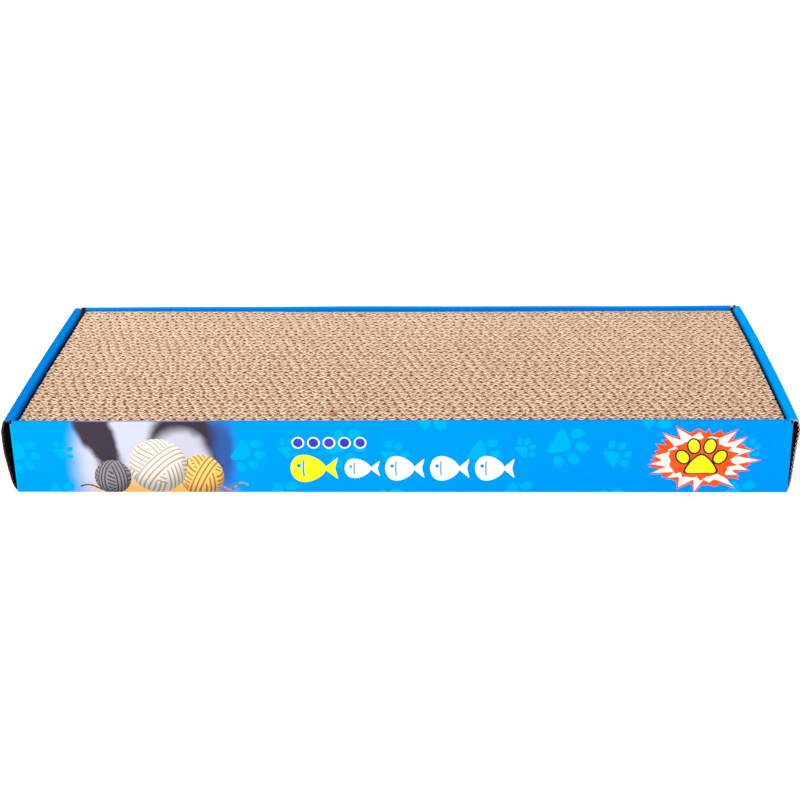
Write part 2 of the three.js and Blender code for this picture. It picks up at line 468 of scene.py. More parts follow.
def soft_spot(finish, x, z, centre, radii, lean, softness):
    """1 inside a leaning ellipse on the front wall, in millimetres, fading to 0 past its edge."""
    cos, sin = math.cos(math.radians(lean)), math.sin(math.radians(lean))
    right, up = x - centre[0] * MM, z - centre[1] * MM
    across = (right * cos + up * sin) / (radii[0] * MM)
    along = (up * cos - right * sin) / (radii[1] * MM)
    distance = (across * across + along * along).root()
    return finish.step(distance, 1 - softness, 1 + softness, 1.0, 0.0)


# Soft spots behind the yarn, back to front: centre, radii, lean in degrees, softness and colour
BACKDROP = [
    ((-163, 24), (46, 48), 0, 0.2, (0.36, 0.37, 0.44)),
    ((-196, 46), (11, 34), 24, 0.22, (0.03, 0.024, 0.034)),
    ((-136, 30), (26, 30), 0, 0.16, (0.028, 0.022, 0.03)),
    ((-142, 17), (20, 27), 0, 0.2, (0.34, 0.34, 0.4)),
    ((-158, -3), (42, 13), 0, 0.5, (0.46, 0.24, 0.06)),
    ((-113, 28), (7, 28), 0, 0.7, (0.02, 0.06, 0.2)),
]
# How far the edges of the soft spots wander
WANDER = 8 * MM


def front_ground_finish(name, carton, blues):
    """Printed ground of the front wall, with the soft backdrop of the yarn picture on its outer face."""
    finish = Finish(name, specular=0.0)
    x, y, z = finish.split(finish.place)
    colour = printed_ground(finish, carton, blues)
    outside = finish.step(y, -HALF_DEPTH + 0.5 * MM, -HALF_DEPTH + 2 * MM, 1.0, 0.0)
    wander = finish.speckle(60) * WANDER
    across, up = x + wander - WANDER / 2, z + wander - WANDER / 2
    for centre, radii, lean, softness, tint in BACKDROP:
        spot = soft_spot(finish, across, up, centre, radii, lean, softness)
        colour = finish.mix(spot * outside, colour, tint)
    return on_carton(finish, carton, colour)


def ink_finish(name, carton, colour):
    """Opaque ink with slight unevenness."""
    finish = Finish(name, specular=0.06)
    mottle = finish.step(finish.speckle(140, 3), 0.3, 0.7)
    paler = [min(1, channel * 1.06 + 0.01) for channel in colour]
    return on_carton(finish, carton, finish.mix(mottle, colour, paler))


# Half widths of the bands of strands on a ball of yarn, in its radii, from the first laid to the last
YARN_BANDS = (2.0, 0.62, 0.55, 0.48, 0.4, 0.34)
# Share of a full turn between a band and the next
BAND_TURN = 0.37


def yarn_finish(name, carton, ball):
    """A ball of yarn in print: bands of strands wound round a form that darkens towards its edge."""
    finish = Finish(name, specular=0.06)
    x, _, z = finish.split(finish.place)
    across = (x - ball.x * MM) / (ball.radius * MM)
    up = (z - ball.z * MM) / (ball.radius * MM)
    front = (1.02 - across * across - up * up).at_least(0.0).root()
    fuzz = finish.speckle(1500, 1) * 0.5
    colour = ball.dark
    chance = random.Random(ball.seed)
    for band, width in enumerate(YARN_BANDS):
        angle = math.tau * (band * BAND_TURN + chance.uniform(0, 0.12))
        tilt = chance.uniform(0.15, 0.6)
        lean = math.sqrt(1 - tilt * tilt)
        height = across * (lean * math.cos(angle)) + up * (lean * math.sin(angle)) + front * tilt
        shift = chance.uniform(-0.3, 0.3)
        strands = (height * ball.winding).sin() + fuzz
        lay = finish.mix(finish.step(strands, -0.9, 0.6), ball.dark, ball.light)
        inside = finish.step(abs(height + shift), width - 0.03, width, 1.0, 0.0)
        colour = finish.mix(inside, colour, lay)
    light = finish.step(up - across * 0.3 + front, -0.4, 1.2, 0.5, 1.12)
    return on_carton(finish, carton, finish.shade(colour, light))


# Finishes of bare paper


def bare_paper(finish, colour, fibre, dullness):
    """Material of unprinted carton, whose fibres catch the light."""
    finish.base(colour)
    finish.bump(fibre, 0.06 * MM, 0.6)
    finish.roughness(dullness + fibre * 0.15)
    return finish.material


def kraft_finish(name, carton, colour):
    """Unprinted kraft paper with long fibres, with painted shade that darkens it down into gaps."""
    finish = Finish(name, specular=0.1)
    blotch = finish.speckle(45, 4, 0.6)
    fibre = finish.speckle(1400)
    lit = finish.shade(colour, 0.8 + blotch * 0.25 + fibre * 0.15)
    # Painted shade: the kraft turns dark brown as far as the mesh's painted shade attribute says
    return bare_paper(finish, finish.mix(finish.attribute("deep"), lit, carton.shade_paint_kraft), fibre, 0.78)


def cut_finish(name, carton):
    """Raw cut of the carton, dusty and darker towards the foot, with painted shade that makes it darker at the left
    end than at the right.
    """
    finish = Finish(name, specular=0.1)
    x, _, z = finish.split(finish.place)
    fibre = finish.speckle(1400)
    dust = finish.speckle(260, 3)
    # Painted shade: the left end's cut is made darker than the right's
    light = finish.step(x, -HALF_LENGTH, HALF_LENGTH, 0.14, 0.95) * (0.75 + dust * 0.5)
    light = light * finish.step(z, 5 * MM, 40 * MM, 0.5, 1.0)
    return bare_paper(finish, finish.shade(carton.cut, light), fibre, 0.8)


# Stains on top of the upper pad: place and radius in millimetres
STAINS = (((-42.5, -90), 4.4), ((-34.6, 98.6), 4.0))


def board_finish(name, pad, is_upper):
    """Corrugated board: pale frayed cut edges, painted shade that darkens the paper with depth inside the flutes and
    where the flutes open, and painted light across the pad.
    """
    finish = Finish(name, specular=0.0, roughness=0.9)
    x, y, _ = finish.split(finish.place)
    rise, board, hollow, wave = map(finish.attribute, ("rise", "board", "hollow", "wave"))
    low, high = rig.box("upper_pad_strip_01")
    depth = rise.at_most(1 - rise) * (high.z - low.z)
    opening = finish.step(wave, 0.1, 0.85)
    fibre = finish.speckle(1500)
    fray = finish.speckle(700, 3, 0.7)
    blotch = finish.speckle(14, 3)

    # Sawn edges: frayed, uneven from board to board, and a brown painted shade where a wave opens widest, stronger
    # towards the front
    cut = finish.mix(finish.step(fray, 0.34, 0.6), pad.cut_shade, pad.cut_edge)
    tint = finish.noise(finish.join_xyz(board * 0.37, x * 3, board), 1.7)
    grain = finish.noise(finish.join_xyz(x * 950, board * 7.3, 0), 1.0)
    fluted = finish.step(hollow, 0.4, 0.6)
    cut = finish.shade(cut, 0.38 + tint * 0.16 + fluted * 0.35 + grain * 0.6)
    # Painted shade: the cut edge turns brown where a wave opens widest, more at the front of the pad
    cut = finish.mix(opening * hollow * (0.78 - y * 2.5), cut, pad.gap_edge_shade)

    # Sides of the paper, with painted shade that darkens them down in the flutes
    lines = (x * (math.tau / pad.coarse_pitch)).sin()
    paper = finish.shade(pad.paper, 0.75 + fibre * 0.3 + blotch * 0.15 + lines * 0.04)
    gap = finish.noise(finish.join_xyz(x * 620, board * 5.1, 4), 1.0, 1)
    # Painted shade: the paper turns dark with depth, most where a wave opens widest
    gloom = finish.step(depth, 0.0, 0.3 * MM) * hollow * finish.step(gap, 0.3, 0.5, 0.5, 1.0)
    inner = finish.mix(gloom * (0.3 + opening * 0.7), paper, pad.flute_shade)

    below = finish.step(depth + fray * (0.25 * MM), 0.13 * MM, 0.28 * MM)
    # Painted light: the pad is made lighter towards its left and its back
    colour = finish.shade(finish.mix(below, cut, inner), 0.97 + blotch * 0.1 - x * 0.2 + y * 0.35)
    for (spot_x, spot_y), radius in STAINS if is_upper else ():
        across, back = x - spot_x * MM, y - spot_y * MM
        distance = (across * across + back * back).root() + fibre * (2 * MM)
        stain = finish.step(distance, radius * MM * 0.6, radius * MM * 1.3, 0.8, 0.0)
        colour = finish.mix(stain, colour, pad.stain)
    finish.base(colour)
    finish.bump(fibre, 0.15 * MM, 0.8)
    return finish.material


# Outlines of printed shapes, in millimetres on the wall


def arc_corners(points, radius, steps=5):
    """Closed outline with each corner rounded, which takes up at most 45 % of the shorter side there."""
    outline = []
    count = len(points)
    for index, corner in enumerate(points):
        before, after = points[index - 1] - corner, points[(index + 1) % count] - corner
        reach = min(radius, 0.45 * before.length, 0.45 * after.length)
        start, end = corner + before.normalized() * reach, corner + after.normalized() * reach
        for part in range(steps + 1):
            t = part / steps
            outline.append((1 - t) ** 2 * start + 2 * t * (1 - t) * corner + t * t * end)
    return outline


def ellipse(centre, radii, turn=0.0, steps=20):
    cos, sin = math.cos(turn), math.sin(turn)
    outline = []
    for index in range(steps):
        angle = math.tau * index / steps
        across, up = radii[0] * math.cos(angle), radii[1] * math.sin(angle)
        outline.append(Vector((centre[0] + across * cos - up * sin, centre[1] + across * sin + up * cos)))
    return outline


# Corners of a paw's main pad, for a paw of size 1 with its toes upwards
PAW_PAD = ((0.0, 0.08), (-0.21, -0.1), (-0.37, -0.38), (0.0, -0.37), (0.37, -0.38), (0.21, -0.1))
PAW_PAD_MIDDLE = (0, -0.24)
# Its outer and its inner toe on the right: middle, and lean in degrees
PAW_TOES = (((0.395, 0.0), -38), ((0.17, 0.25), -14))
TOE_RADII = (0.115, 0.155)


def paw(x, z, size, heading, swell=0.0):
    """Outlines of a paw print whose toes point along heading, in degrees from the right. Swell widens each.

    The place lies between the two outer toes.
    """
    turn = math.radians(heading - 90)
    spin = Matrix.Rotation(turn, 2)
    place = Vector((x, z))
    middle = Vector(PAW_PAD_MIDDLE)
    growth = 1 + 4.2 * swell / size
    grown = [middle + (Vector(corner) - middle) * growth for corner in PAW_PAD]
    outlines = [[place + spin @ point * size for point in arc_corners(grown, 0.2)]]
    radii = [radius * size + swell for radius in TOE_RADII]
    for side in (-1, 1):
        for toe, lean in PAW_TOES:
            centre = place + spin @ Vector((side * toe[0], toe[1])) * size
            outlines.append(ellipse(centre, radii, turn + math.radians(side * lean)))
    return outlines


def fish(x, z, length, height):
    """Body, tail, eye and gill of a plain fish that faces left."""
    body_length = length * 0.74
    nose, tail_tip = x - length / 2, x + length / 2
    middle = nose + body_length / 2
    body = []
    for index in range(28):
        angle = math.tau * index / 28
        taper = 1 - 0.25 * math.cos(angle)
        body.append(Vector((
            middle + body_length / 2 * math.cos(angle),
            z + height / 2 * math.sin(angle) * taper,
        )))
    fin = height * 0.42
    tail = [
        Vector((nose + body_length * 0.93, z)), Vector((tail_tip, z + fin)),
        Vector((tail_tip - length * 0.07, z)), Vector((tail_tip, z - fin)),
    ]
    eye = ellipse((nose + body_length * 0.24, z + height * 0.1), (height * 0.075, height * 0.075), steps=12)
    gill = []
    for side, width in ((1, 0.0), (-1, 0.035)):
        for part in range(-4, 5):
            angle = side * part / 4 * 0.8
            out = body_length * (0.4 - 0.06 * math.cos(angle)) + width * length
            gill.append(Vector((nose + out, z + fin * math.sin(angle))))
    return body, arc_corners(tail, height * 0.08, 3), eye, gill


def burst(x, z, radii, spikes, depth, uneven, seed, swell):
    """Star outline with uneven spikes. Depth is the share of the radii that its valleys reach."""
    chance = random.Random(seed)
    outline = []
    for index in range(spikes * 2):
        angle = math.tau * index / (spikes * 2) + chance.uniform(-0.06, 0.06)
        if index % 2 == 0:
            out = 1 - uneven * chance.random() ** 1.5
        else:
            out = depth + chance.uniform(-0.05, 0.05)
        outline.append(Vector((
            x + (radii[0] * out + swell) * math.cos(angle),
            z + (radii[1] * out + swell) * math.sin(angle),
        )))
    return outline


def loose_strand(start, end, sway, waves, width=1.1, steps=28):
    """Outline of a wavy strand."""
    middle = []
    for index in range(steps + 1):
        t = index / steps
        lift = sway * math.sin(waves * math.pi * t)
        middle.append(Vector((start[0] + (end[0] - start[0]) * t, start[1] + (end[1] - start[1]) * t + lift)))
    sides = ([], [])
    for index, point in enumerate(middle):
        along = (middle[min(index + 1, steps)] - middle[max(index - 1, 0)]).normalized()
        aside = Vector((-along.y, along.x)) * width / 2
        sides[0].append(point + aside)
        sides[1].append(point - aside)
    return sides[0] + sides[1][::-1]


# Printed balls of yarn, back to front. Winding tells how close the strands lie, in radians to a radius
YarnBall = namedtuple("YarnBall", "name x z radius winding seed dark light")
YARN = [
    YarnBall("yarn_grey", -186, 11, 12, 30, 2, (0.019, 0.016, 0.018), (0.164, 0.151, 0.158)),
    YarnBall("yarn_ginger", -128, 12, 14.5, 30, 5, (0.214, 0.082, 0.013), (0.598, 0.353, 0.101)),
    YarnBall("yarn_cream", -156, 19, 19, 38, 9, (0.26, 0.2, 0.135), (0.52, 0.48, 0.43)),
]
# Loose ends of the yarn: ink, start, end, sway and number of half waves
YARN_ENDS = [
    ("yarn_ginger", (-122, 3.5), (-98, 5), 2.2, 3),
    ("yarn_grey", (-208, 4), (-186, 3), 1.6, 2),
]

# Paw prints on the front wall: x, z, size and heading
FRONT_PAWS = [
    (-243, 25.5, 24, -31), (-217, 30, 15, 43), (-221, -5, 26, -31), (-97, 26.3, 24.5, -31),
    (-70.5, 31.2, 15, 43), (-75, -4.5, 26, -31), (-34, 31.6, 29, -31), (-2, 27, 20, 32),
    (-7.5, -9, 26, -31), (21, 57.2, 29, 32), (55.4, 26.6, 24, -31), (81.5, 31.4, 15, 43),
    (77, -4.2, 26, -31), (108.5, 31.6, 29, -31), (140.5, 27, 20, 32), (136, -9, 26, -31),
    (163, 57.4, 29, 32), (224, 31.3, 15, 43), (219.5, -4.2, 27, -31), (261, 31.6, 29, -31),
]

# Row of fish: x, length, height and ink, and the z of their middles
FISH_ROW = [
    (-54.5, 31, 19, "yellow"), (-23.5, 23, 13.5, "white"), (4, 25.5, 17, "white"), (33, 25.5, 17, "white"),
    (62, 25.5, 17, "white"),
]
FISH_Z = 17

# Row of dots, and the radii of each one's ring and middle
DOTS = [(-64.5 + 10 * index, 35.2) for index in range(5)]
DOT_RADII = (("white", 4.1), ("royal", 3.1))

# The burst, back to front: ink, radii, spikes, depth of its valleys, unevenness, seed and swell
BURST_PLACE = (193.5, 23.5)
BURSTS = [
    ("orange", (34.5, 21.5), 26, 0.82, 0.16, 5, 0.0),
    ("orange", (38, 24.8), 19, 0.66, 0.45, 4, 1.1),
    ("white", (37, 24), 19, 0.63, 0.45, 4, 0.0),
    ("orange", (26, 16.5), 21, 0.78, 0.3, 8, 0.0),
]
# The paw in the burst: x, z, size and heading, and the inks and swells of its outline and fill
BURST_PAW = (193.5, 25, 30, 90)
BURST_PAW_INKS = (("ink", 1.1), ("yellow", 0.0))


def front_shapes():
    """Printed shapes of the front wall, back to front, each with the name of its ink."""
    shapes = [("paw", outline) for spot in FRONT_PAWS for outline in paw(*spot)]
    shapes += [(ink, loose_strand(*strand)) for ink, *strand in YARN_ENDS]
    for ball in YARN:
        shapes.append((ball.name, ellipse((ball.x, ball.z), (ball.radius, ball.radius), steps=56)))
    for x, length, height, ink in FISH_ROW:
        body, tail, eye, gill = fish(x, FISH_Z, length, height)
        shapes += [(ink, tail), (ink, body), ("ground", gill), ("ground", eye)]
    shapes += [(ink, ellipse(dot, (radius, radius))) for dot in DOTS for ink, radius in DOT_RADII]
    shapes += [(ink, burst(*BURST_PLACE, *star)) for ink, *star in BURSTS]
    shapes += [(ink, outline) for ink, swell in BURST_PAW_INKS for outline in paw(*BURST_PAW, swell)]
    return shapes


# Paw prints on the other walls: their sizes and headings, and how near each other they stand in their sizes
PAW_SIZES = (14, 19, 23, 28)
PAW_HEADINGS = (-25, -25, 40)
PAW_SPACING = 0.62


def scattered_paws(width, height, count, seed):
    """Paw prints spread over a plain wall, whose width and height are in metres."""
    chance = random.Random(seed)
    kept = []
    for _ in range(count * 40):
        size = chance.choice(PAW_SIZES)
        x = chance.uniform(-width / MM / 2, width / MM / 2)
        spot = (x, chance.uniform(0, height / MM), size, chance.choice(PAW_HEADINGS))
        near = [math.dist(spot[:2], other[:2]) <= PAW_SPACING * (size + other[2]) for other in kept]
        if not any(near):
            kept.append(spot)
        if len(kept) == count:
            break
    return [("paw", outline) for spot in kept for outline in paw(*spot)]


# Folded sheets

# Room between the cut edges of two layers that meet
CLEARANCE = 0.3 * MM
# Points of a path nearer than this to a level count as on it
NEARLY = 0.01 * MM
# Middles of the lock tabs and of their slots, and half the width of each
TAB_PLACES = (-55 * MM, 55 * MM)
HALF_TAB = 16 * MM
HALF_SLOT = 16.3 * MM

# Waves along the top of both long walls: height in mm, radians to a metre, and phase
WALL_WAVES = ((0.12, 19, 1), (0.1, 43, 0))
# How much higher a long wall stands past a certain x, in mm
WALL_RISE = 0.6
# How far the inner layer of the back wall is cut back at one end
LINING_SETBACK = 2.2 * MM

# How far each end's rim stands out in mm: at both ends, more towards the back, and more in the middle
BOWS = {-1: (1.25, 1.35, 0.9), 1: (-1.0, -0.1, 1.4)}
# How far each end's panel bulges above its foot in mm, and the heights where that starts and ends to fade
BELLIES = {-1: (2.7, 24, 52), 1: (1.15, 4, 34)}
# Height over which the bulge sets in
BELLY_FOOT = 2.5 * MM
# Where the painted shade starts past the rim's outer crease, and over what length, in mm
RIM_SHADES = {-1: (0.7, 4.2), 1: (2.6, 2.4)}
# How far the pads push the inner side of each rim outwards, in mm
PUSHES = {-1: 0, 1: 1.2}
# How much wider than set the mitre is at the back of each rim
MITRES = {-1: 1.1, 1: 1.9}
# Seeds of the paw prints on each end
END_SEEDS = {-1: 23, 1: 11}
# Parts of a hollow end's core along the crease, so that it bends with the skin
CORE_PARTS = 18


def anticlockwise(points):
    """The same closed outline, turned to run anticlockwise."""
    area = sum(a[0] * b[1] - b[0] * a[1] for a, b in zip(points, points[1:] + points[:1]))
    return points if area > 0 else points[::-1]


class SheetPath:
    """Printed face of a folded sheet, seen along its creases: points, and the way out at each."""

    def __init__(self, points, outward):
        self.points = points
        self.reach = [0.0]
        for first, second in zip(points, points[1:]):
            self.reach.append(self.reach[-1] + (second - first).length)
        ways = []
        for first, second in zip(points, points[1:]):
            along = (second - first).normalized()
            ways.append(Vector((along.y, -along.x)) * outward)
        self.outs = [ways[0]]
        for first, second in zip(ways, ways[1:]):
            middle = (first + second).normalized()
            self.outs.append(middle / max(0.3, middle.dot(first)))
        self.outs.append(ways[-1])

    @property
    def length(self):
        return self.reach[-1]

    def at(self, reach):
        """Point and way out at a distance along the sheet."""
        index = 0
        while index < len(self.reach) - 2 and reach > self.reach[index + 1]:
            index += 1
        t = (reach - self.reach[index]) / (self.reach[index + 1] - self.reach[index])
        out = self.outs[index].lerp(self.outs[index + 1], t)
        return self.points[index].lerp(self.points[index + 1], t), out

    def reach_where(self, test):
        """Distance along the sheet of the first point that passes a test."""
        return next(reach for reach, point in zip(self.reach, self.points) if test(point))


def rounded_path(points, radii, steps=8):
    """Open path through points, with an arc of the given radius at each inner corner."""
    path = [points[0]]
    for index in range(1, len(points) - 1):
        corner = points[index]
        back, ahead = (points[index - 1] - corner).normalized(), (points[index + 1] - corner).normalized()
        half = back.angle(ahead) / 2
        reach = radii[index - 1] / math.tan(half)
        centre = corner + (back + ahead).normalized() * radii[index - 1] / math.sin(half)
        start, end = corner + back * reach - centre, corner + ahead * reach - centre
        for part in range(steps + 1):
            t = part / steps
            path.append(centre + start.slerp(end, t) * radii[index - 1])
    path.append(points[-1])
    return path


def subdivided(points, step):
    """The same path with extra points, so that no stretch is longer than a step."""
    path = [points[0]]
    for first, second in zip(points, points[1:]):
        parts = max(1, math.ceil((second - first).length / step))
        path += [first.lerp(second, part / parts) for part in range(1, parts + 1)]
    return path


class Shell:
    """Collects one piece: its faces with a material name for each, and how much painted shade each point gets, by how
    deep in a gap it lies.
    """

    def __init__(self):
        self.points = []
        self.shades = []
        self.faces = []
        self.inks = []

    def add(self, points, shades, faces, inks):
        start = len(self.points)
        self.points += points
        self.shades += shades
        self.faces += [[start + index for index in face] for face in faces]
        self.inks += inks

    def build(self, name, materials, smooth=35):
        """Makes the mesh object, with outward faces and shading that breaks at sharp edges."""
        mesh = bpy.data.meshes.new(name)
        mesh.from_pydata(self.points, [], self.faces)
        # Each point's painted shade, which the finishes turn into dark blue or dark brown
        mesh.attributes.new("deep", "FLOAT", "POINT").data.foreach_set("value", self.shades)
        used = sorted(set(self.inks))
        for ink in used:
            mesh.materials.append(materials[ink])
        mesh.polygons.foreach_set("material_index", [used.index(ink) for ink in self.inks])
        work = bmesh.new()
        work.from_mesh(mesh)
        bmesh.ops.remove_doubles(work, verts=work.verts, dist=1e-7)
        bmesh.ops.recalc_face_normals(work, faces=work.faces)
        work.to_mesh(mesh)
        work.free()
        mesh.shade_smooth()
        mesh.set_sharp_from_angle(angle=math.radians(smooth))
        piece = bpy.data.objects.new(name, mesh)
        bpy.context.scene.collection.objects.link(piece)
        return piece


def clamp(value):
    return min(1.0, max(0.0, value))


def gap_shade(dark, past):
    """Painted dark of a gap, most of which is left to the light itself past a depth in millimetres."""
    return clamp(dark) * (1 - 0.7 * clamp(past / 10))


def in_the_open(reach):
    return 0.0


def extra_cuts(spacing, count):
    """Places across a crease where a skin gets another row of points, on both sides of its middle."""
    return [spacing * index for index in range(-count, count + 1)]


def add_skin(shell, path, outline, place, thickness, shapes=(), rows=(), ground="ground", cut="cut",
             shade=in_the_open, back_shade=1.0):
    """Sheet whose printed face follows a path, cut to an outline of (along crease, along path) points.

    Shapes are pairs of an ink and an outline in millimetres, laid over the ground. Rows are the places of
    extra cuts across the crease. Shade gives the painted shade of the printed face at a distance along the
    path, by how deep in a gap it lies, and back_shade the same behind it.
    """
    ends = [point[0] for point in outline]
    low, high = min(ends) - MM, max(ends) + MM
    corners = [Vector(point) for point in anticlockwise(outline)]
    loops = [list(range(len(corners)))]
    edges = []
    for reach in path.reach[1:-1]:
        edges.append((len(corners), len(corners) + 1))
        corners += [Vector((low, reach)), Vector((high, reach))]
    for row in rows:
        edges.append((len(corners), len(corners) + 1))
        corners += [Vector((row, -MM)), Vector((row, path.length + MM))]
    for _, shape in shapes:
        loops.append(list(range(len(corners), len(corners) + len(shape))))
        corners += anticlockwise([point * MM for point in shape])
    points, _, faces, _, _, sources = delaunay_2d_cdt(corners, edges, loops, 1, 1e-7, True)
    kept = [(face, max(source)) for face, source in zip(faces, sources) if 0 in source]
    used = sorted({index for face, _ in kept for index in face})
    order = {index: number for number, index in enumerate(used)}
    outer, inner, shades = [], [], []
    for index in used:
        along, reach = points[index]
        point, out = path.at(min(max(reach, 0), path.length))
        outer.append(place(along, point))
        inner.append(place(along, point - out * thickness))
        shades.append(shade(reach))
    count = len(used)
    top = [[order[index] for index in face] for face, _ in kept]
    inks = [ground if source == 0 else shapes[source - 1][0] for _, source in kept]
    under = [[index + count for index in reversed(face)] for face in top]
    once = {}
    for face in top:
        for first, second in zip(face, face[1:] + face[:1]):
            key = (min(first, second), max(first, second))
            once[key] = None if key in once else (first, second)
    rim = [[second, first, first + count, second + count] for first, second in filter(None, once.values())]
    shades += [max(value, back_shade) for value in shades]
    shell.add(outer + inner, shades, top + under + rim, inks + ["kraft"] * len(under) + [cut] * len(rim))


def add_ribbon(shell, samples, place, ink, cut_ink, parts):
    """Closed strip through samples of (low end, high end, near point, far point), with its cut ends inked."""
    ring = 2 * (parts + 1)
    points, faces, inks = [], [], []
    for low, high, near, far in samples:
        steps = [low + (high - low) * part / parts for part in range(parts + 1)]
        points += [place(along, near) for along in steps] + [place(along, far) for along in reversed(steps)]
    for index in range(len(samples) - 1):
        for side in range(ring):
            first, second = index * ring + side, index * ring + (side + 1) % ring
            faces.append([first, second, second + ring, first + ring])
            inks.append(cut_ink if side in (parts, ring - 1) else ink)
    last = (len(samples) - 1) * ring
    for part in range(parts):
        cap = [part, part + 1, ring - 2 - part, ring - 1 - part]
        faces += [cap, [last + corner for corner in reversed(cap)]]
        inks += [cut_ink, cut_ink]
    # Every point gets full painted shade, as the strip lies inside a hollow wall
    shell.add(points, [1.0] * len(points), faces, inks)


def add_core(shell, path, limits, place, carton, cut="cut", parts=1):
    """Fluted layer and inner liner behind a printed skin, in parts along the crease that follow its bow.

    Limits gives both cut ends at a distance along the path.
    """
    steps_per_wave = 8
    count = max(2, round(path.length / carton.flute_pitch * steps_per_wave))
    depth = SHEET - 2 * carton.liner
    swing = (depth - carton.liner) / 2
    flutes, liner = [], []
    for index in range(count + 1):
        reach = path.length * index / count
        point, out = path.at(reach)
        low, high = limits(reach)
        turn = math.tau * reach / carton.flute_pitch
        slope = swing * math.tau / carton.flute_pitch * math.cos(turn)
        half = carton.liner / 2 * math.hypot(1, slope)
        middle = carton.liner + depth / 2 + swing * math.sin(turn)
        flutes.append((low, high, point - out * (middle - half), point - out * (middle + half)))
        liner.append((low, high, point - out * (SHEET - carton.liner), point - out * SHEET))
    add_ribbon(shell, flutes, place, "core", cut, parts)
    add_ribbon(shell, liner, place, "kraft", "kraft", parts)


def carton_materials(context):
    """Materials of the tray by ink name, made once and shared by its pieces."""
    carton, inks = context.scene.scratcher_carton, context.scene.scratcher_print
    wall_blues = (carton.blue_left, carton.blue_right)
    made = {
        # The print grounds hold painted light across the tray and painted shade in the gaps; the end walls' rim blues
        # are painted shade
        "ground": ("plain_print_ground", ground_finish, wall_blues),
        "front": ("front_print_ground", front_ground_finish, wall_blues),
        "end": ("end_print_ground", ground_finish, (carton.rim_left, carton.rim_right)),
        "paw": ("paw_print_ink", paw_finish, wall_blues),
        # The kraft is print-free carton, painted dark as painted shade inside the hollows
        "kraft": ("kraft_liner", kraft_finish, carton.kraft),
        "core": ("kraft_flutes", kraft_finish, [channel * 0.6 for channel in carton.kraft]),
        "cut": ("carton_cut_edge", cut_finish),
        "yellow": ("yellow_ink", ink_finish, inks.yellow),
        "white": ("white_ink", ink_finish, inks.white),
        "orange": ("orange_ink", ink_finish, inks.orange),
        "ink": ("black_ink", ink_finish, inks.ink),
        "royal": ("royal_blue_ink", ink_finish, inks.royal),
    }
    for ball in YARN:
        made[ball.name] = (ball.name, yarn_finish, ball)
    materials = {}
    for ink, (name, make, *given) in made.items():
        materials[ink] = bpy.data.materials.get(name) or make(name, carton, *given)
    return materials


def long_wall_path():
    """Outer layer, tight fold and inner layer of the front wall, as (y, z) points from the foot."""
    centre = Vector((-HALF_DEPTH + FOLD_RADIUS, TRAY_HEIGHT - FOLD_RADIUS))
    steps = 14
    points = [Vector((-HALF_DEPTH, 0))]
    for index in range(steps + 1):
        angle = math.pi * (1 - index / steps)
        points.append(centre + FOLD_RADIUS * Vector((math.cos(angle), math.sin(angle))))
    points.append(Vector((FRONT_LINING[1].y, FRONT_LINING[0].z)))
    return SheetPath(points, -1)


def add_long_wall(name, back, shapes, materials):
    """Front wall, or the back wall turned to face the other way."""
    path = long_wall_path()
    side = -1 if back else 1
    rise_start, rise_end = (0.2, -0.15) if back else (0.0, 0.15)
    crown = TRAY_HEIGHT - FOLD_RADIUS + FOLD_RADIUS * math.pi / 2
    crease = HALF_LENGTH - SHEET
    inset = crease - CLEARANCE
    setback = LINING_SETBACK if back else 0
    outline = [
        (-crease, 0), (crease, 0), (crease, crown), (inset, crown), (inset, path.length),
        (setback - inset, path.length), (setback - inset, crown), (-crease, crown),
    ]

    def place(along, point):
        x = along * side
        waves = sum(height * math.sin(along * rate + phase) for height, rate, phase in WALL_WAVES)
        sway = waves + WALL_RISE * clamp((x - rise_start) / (rise_end - rise_start))
        return Vector((x, point.x * side, point.y + sway * MM * (point.y / TRAY_HEIGHT) ** 3))

    def shade(reach):
        past = (reach - crown) / MM - 1.2
        bent = clamp((reach - crown + FOLD_RADIUS * 1.2) / FOLD_RADIUS)
        return gap_shade(0.1 * bent + max(0, past) / 6, past - 6)

    shell = Shell()
    add_skin(shell, path, outline, place, SHEET, shapes, extra_cuts(12.5 * MM, 19), shade=shade)
    return shell.build(name, materials)


def end_path(carton):
    """Leaning outer panel, shoulder, rim and inner panel of the right end, as (x, z) points from the foot."""
    inner = RIGHT_LINING[0].x
    corners = [
        Vector((HALF_LENGTH, 0)),
        Vector((RIGHT_PANEL[1].x, TRAY_HEIGHT - carton.shoulder_drop)),
        Vector((RIGHT_RIM[1].x, TRAY_HEIGHT)),
        Vector((inner, TRAY_HEIGHT)),
        Vector((inner, BASE[1].z)),
    ]
    path = rounded_path(corners, (carton.shoulder_radius, carton.rim_radius, carton.rim_inner_radius))
    return SheetPath(subdivided(path, 2 * MM), 1)


def end_limits(path, carton, side):
    """Where an end's sheet is cut beside the long walls, as (distance, front y, back y) from the foot up."""
    wide, narrow = RIGHT_PANEL[1].y, RIGHT_LINING[1].y
    inner = RIGHT_LINING[0].x
    top = path.reach_where(lambda point: point.y > TRAY_HEIGHT - NEARLY)
    notch = top + (path.at(top)[0].x - HALF_LENGTH - CLEARANCE)
    width = carton.mitre_width * MITRES[side]
    mitre = top + (path.at(top)[0].x - inner - width)
    turned = path.reach_where(lambda point: point.x < inner + NEARLY)
    marks = []
    for reach in sorted((0, mitre, notch, notch + NEARLY / 10, turned)):
        cut = carton.mitre_length * clamp((reach - mitre) / width)
        marks.append((reach, -wide if reach <= notch else -narrow, wide - cut))
    return marks + [(turned + 9 * MM, -narrow, narrow), (path.length, -narrow, narrow)]


def between(marks, reach):
    """Front and back cut at a distance, from the marks of end_limits."""
    for (start, low, high), (end, next_low, next_high) in zip(marks, marks[1:]):
        if reach <= end:
            t = (reach - start) / (end - start)
            return low + (next_low - low) * t, high + (next_high - high) * t
    return marks[-1][1:]


